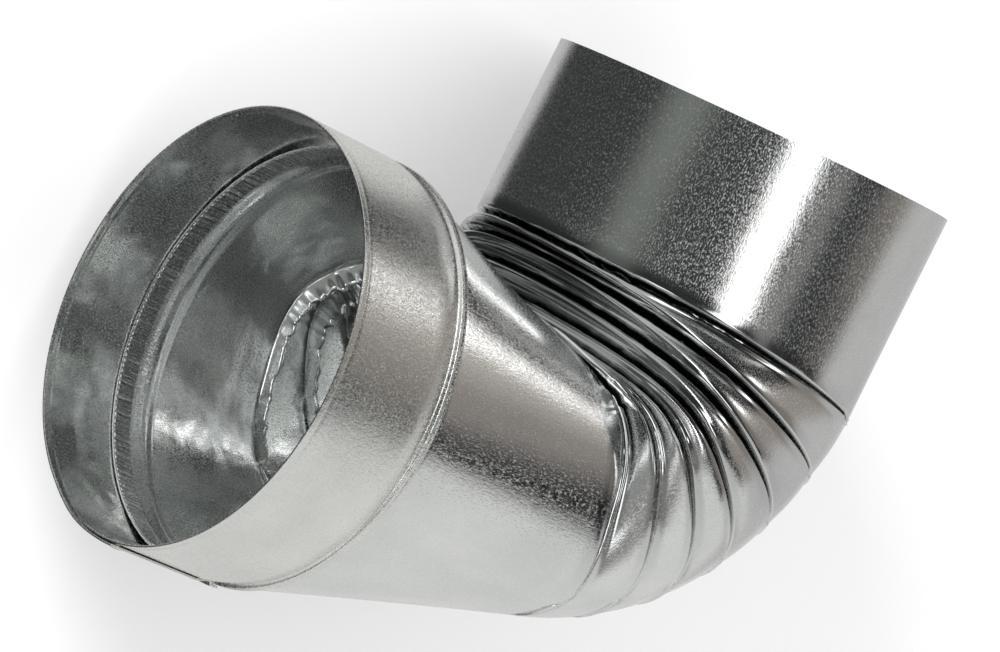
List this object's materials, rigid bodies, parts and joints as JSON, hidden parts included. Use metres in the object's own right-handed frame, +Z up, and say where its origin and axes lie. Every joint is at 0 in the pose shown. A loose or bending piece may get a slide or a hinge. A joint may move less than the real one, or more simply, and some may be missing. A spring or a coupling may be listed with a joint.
{
  "type": "flue elbow",
  "caption": "Ninety degree sheet steel flue elbow, a round tube bent by pressed folds, with a socket collar on its inlet and a plain outlet.",
  "frame": {"origin": "centre of the object's box in plan, at the lowest point, with the elbow lying on its side", "axes": "+X along the inlet from the socket's mouth into the bend, +Y out of the outlet, +Z up, at right angles to the plane of the bend"},
  "size_m": [0.2044, 0.1798, 0.1434],
  "materials": {
    "tube_steel": "bright galvanised sheet, smooth and softly mirror-like with small dark specks",
    "collar_steel": "galvanised sheet with a fine grain, duller than the tube",
    "rivet_steel": "dull zinc plated steel"
  },
  "bodies": {
    "root": {"elbow_tube": "tube_steel", "socket_collar": "collar_steel", "lap_rivet": "rivet_steel"}
  },
  "joints": []
}
